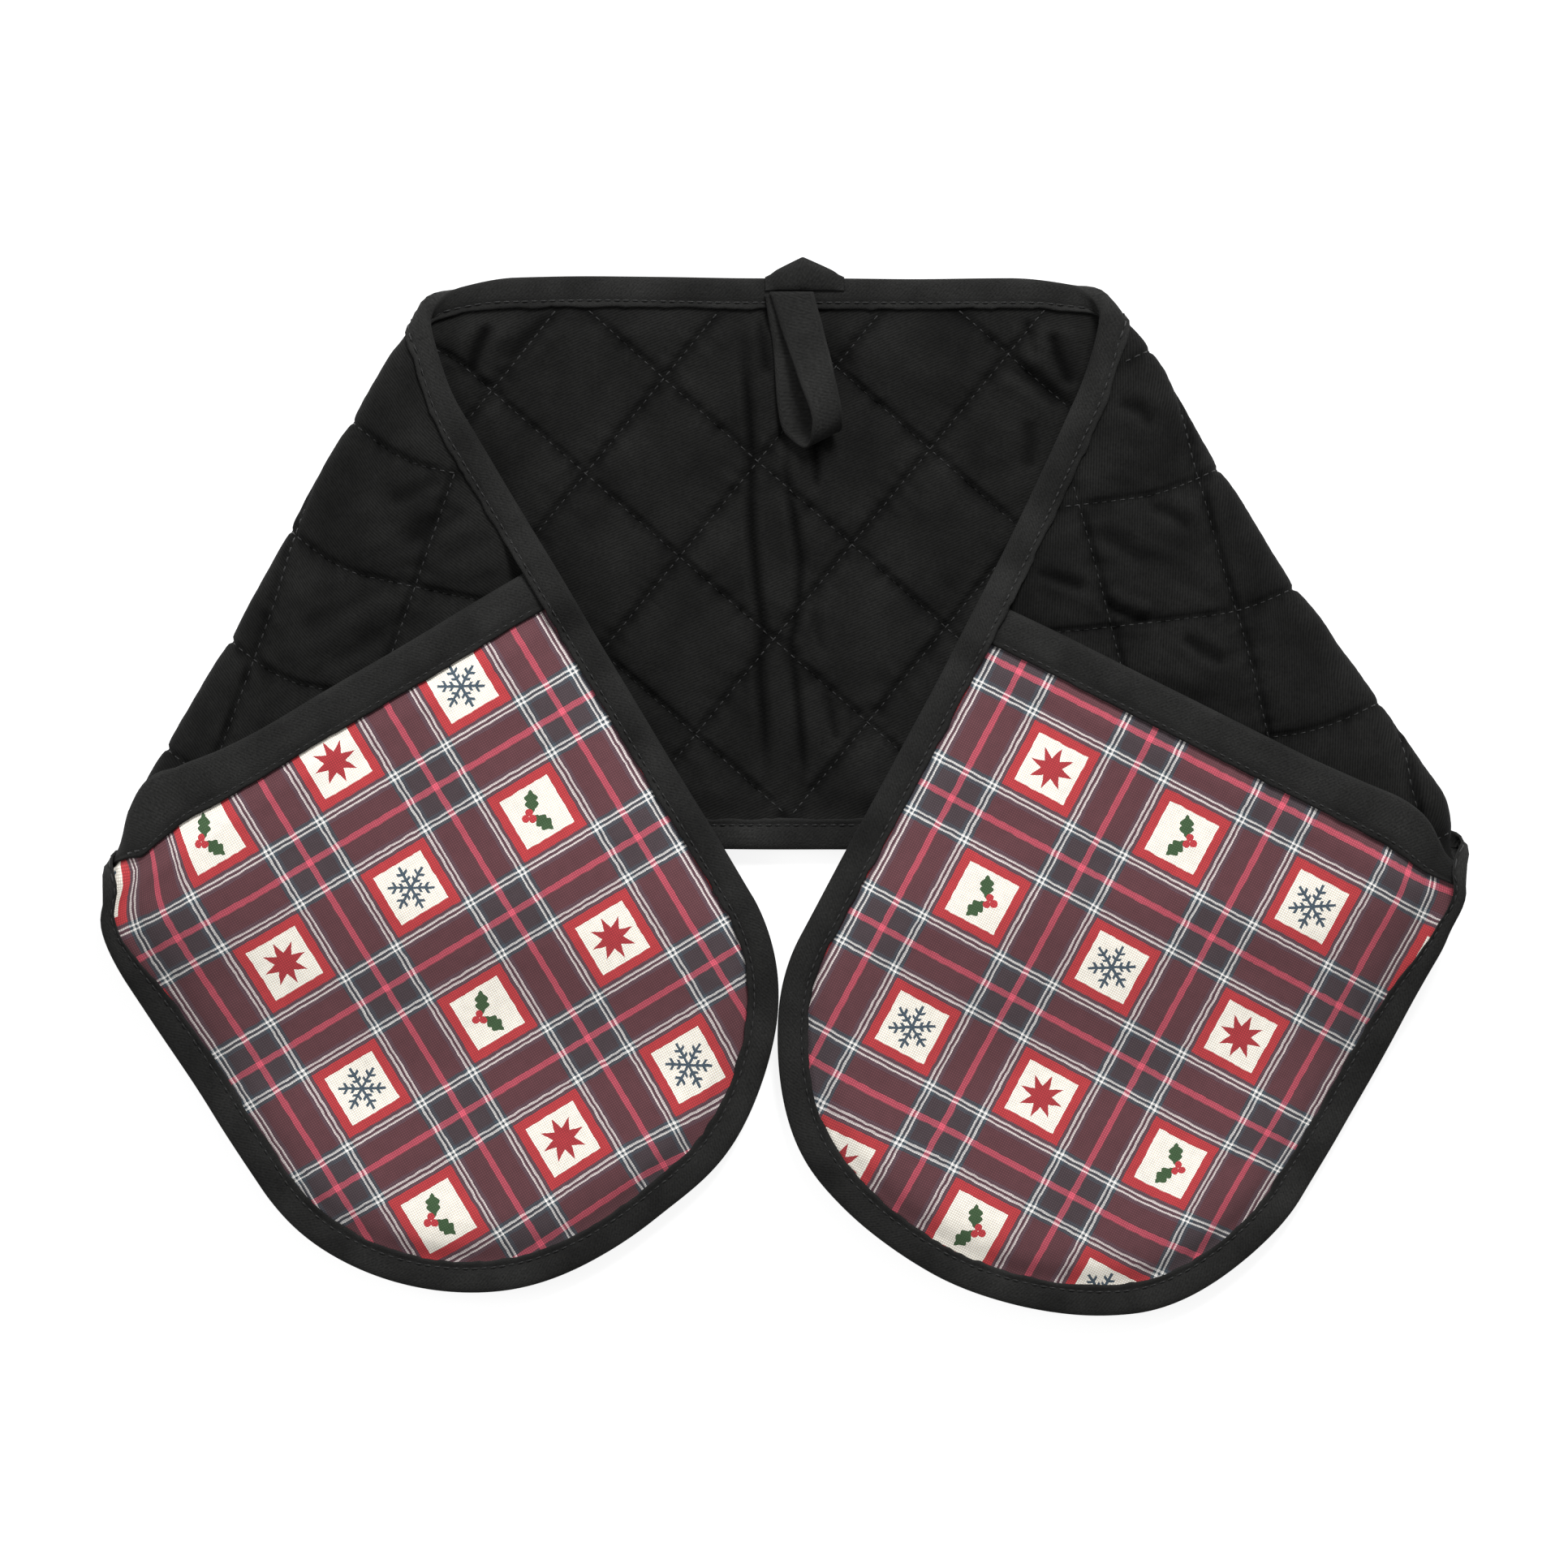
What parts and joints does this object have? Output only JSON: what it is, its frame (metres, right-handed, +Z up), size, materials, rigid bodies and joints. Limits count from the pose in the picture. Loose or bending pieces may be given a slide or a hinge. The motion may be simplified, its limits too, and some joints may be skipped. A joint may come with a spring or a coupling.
{
  "type": "double oven glove",
  "caption": "Double oven glove lying folded: a quilted strip with a padded pocket at each rounded end, bound edges and a hanging loop.",
  "frame": {"origin": "centre of the bounding box on the surface that the folded glove lies on", "axes": "+X along the folded glove from the left pocket to the right pocket, +Y from the pockets' ends to the edge with the hanging loop, +Z up off the surface"},
  "size_m": [0.4328, 0.334, 0.0277],
  "materials": {
    "quilted_cloth": "matte cotton twill, black, quilted",
    "binding_tape": "matte cotton twill tape, black",
    "printed_cloth": "matte plain-weave cotton, printed check in wine, red, slate and white",
    "loop_tape": "matte cotton twill tape, black"
  },
  "bodies": {
    "root": {"quilted_body": "quilted_cloth", "edge_binding": "binding_tape", "binding_end": "binding_tape", "pocket_left": "printed_cloth", "pocket_right": "printed_cloth", "mouth_binding_left": "binding_tape", "mouth_binding_right": "binding_tape", "hanging_loop": "loop_tape"}
  },
  "joints": []
}
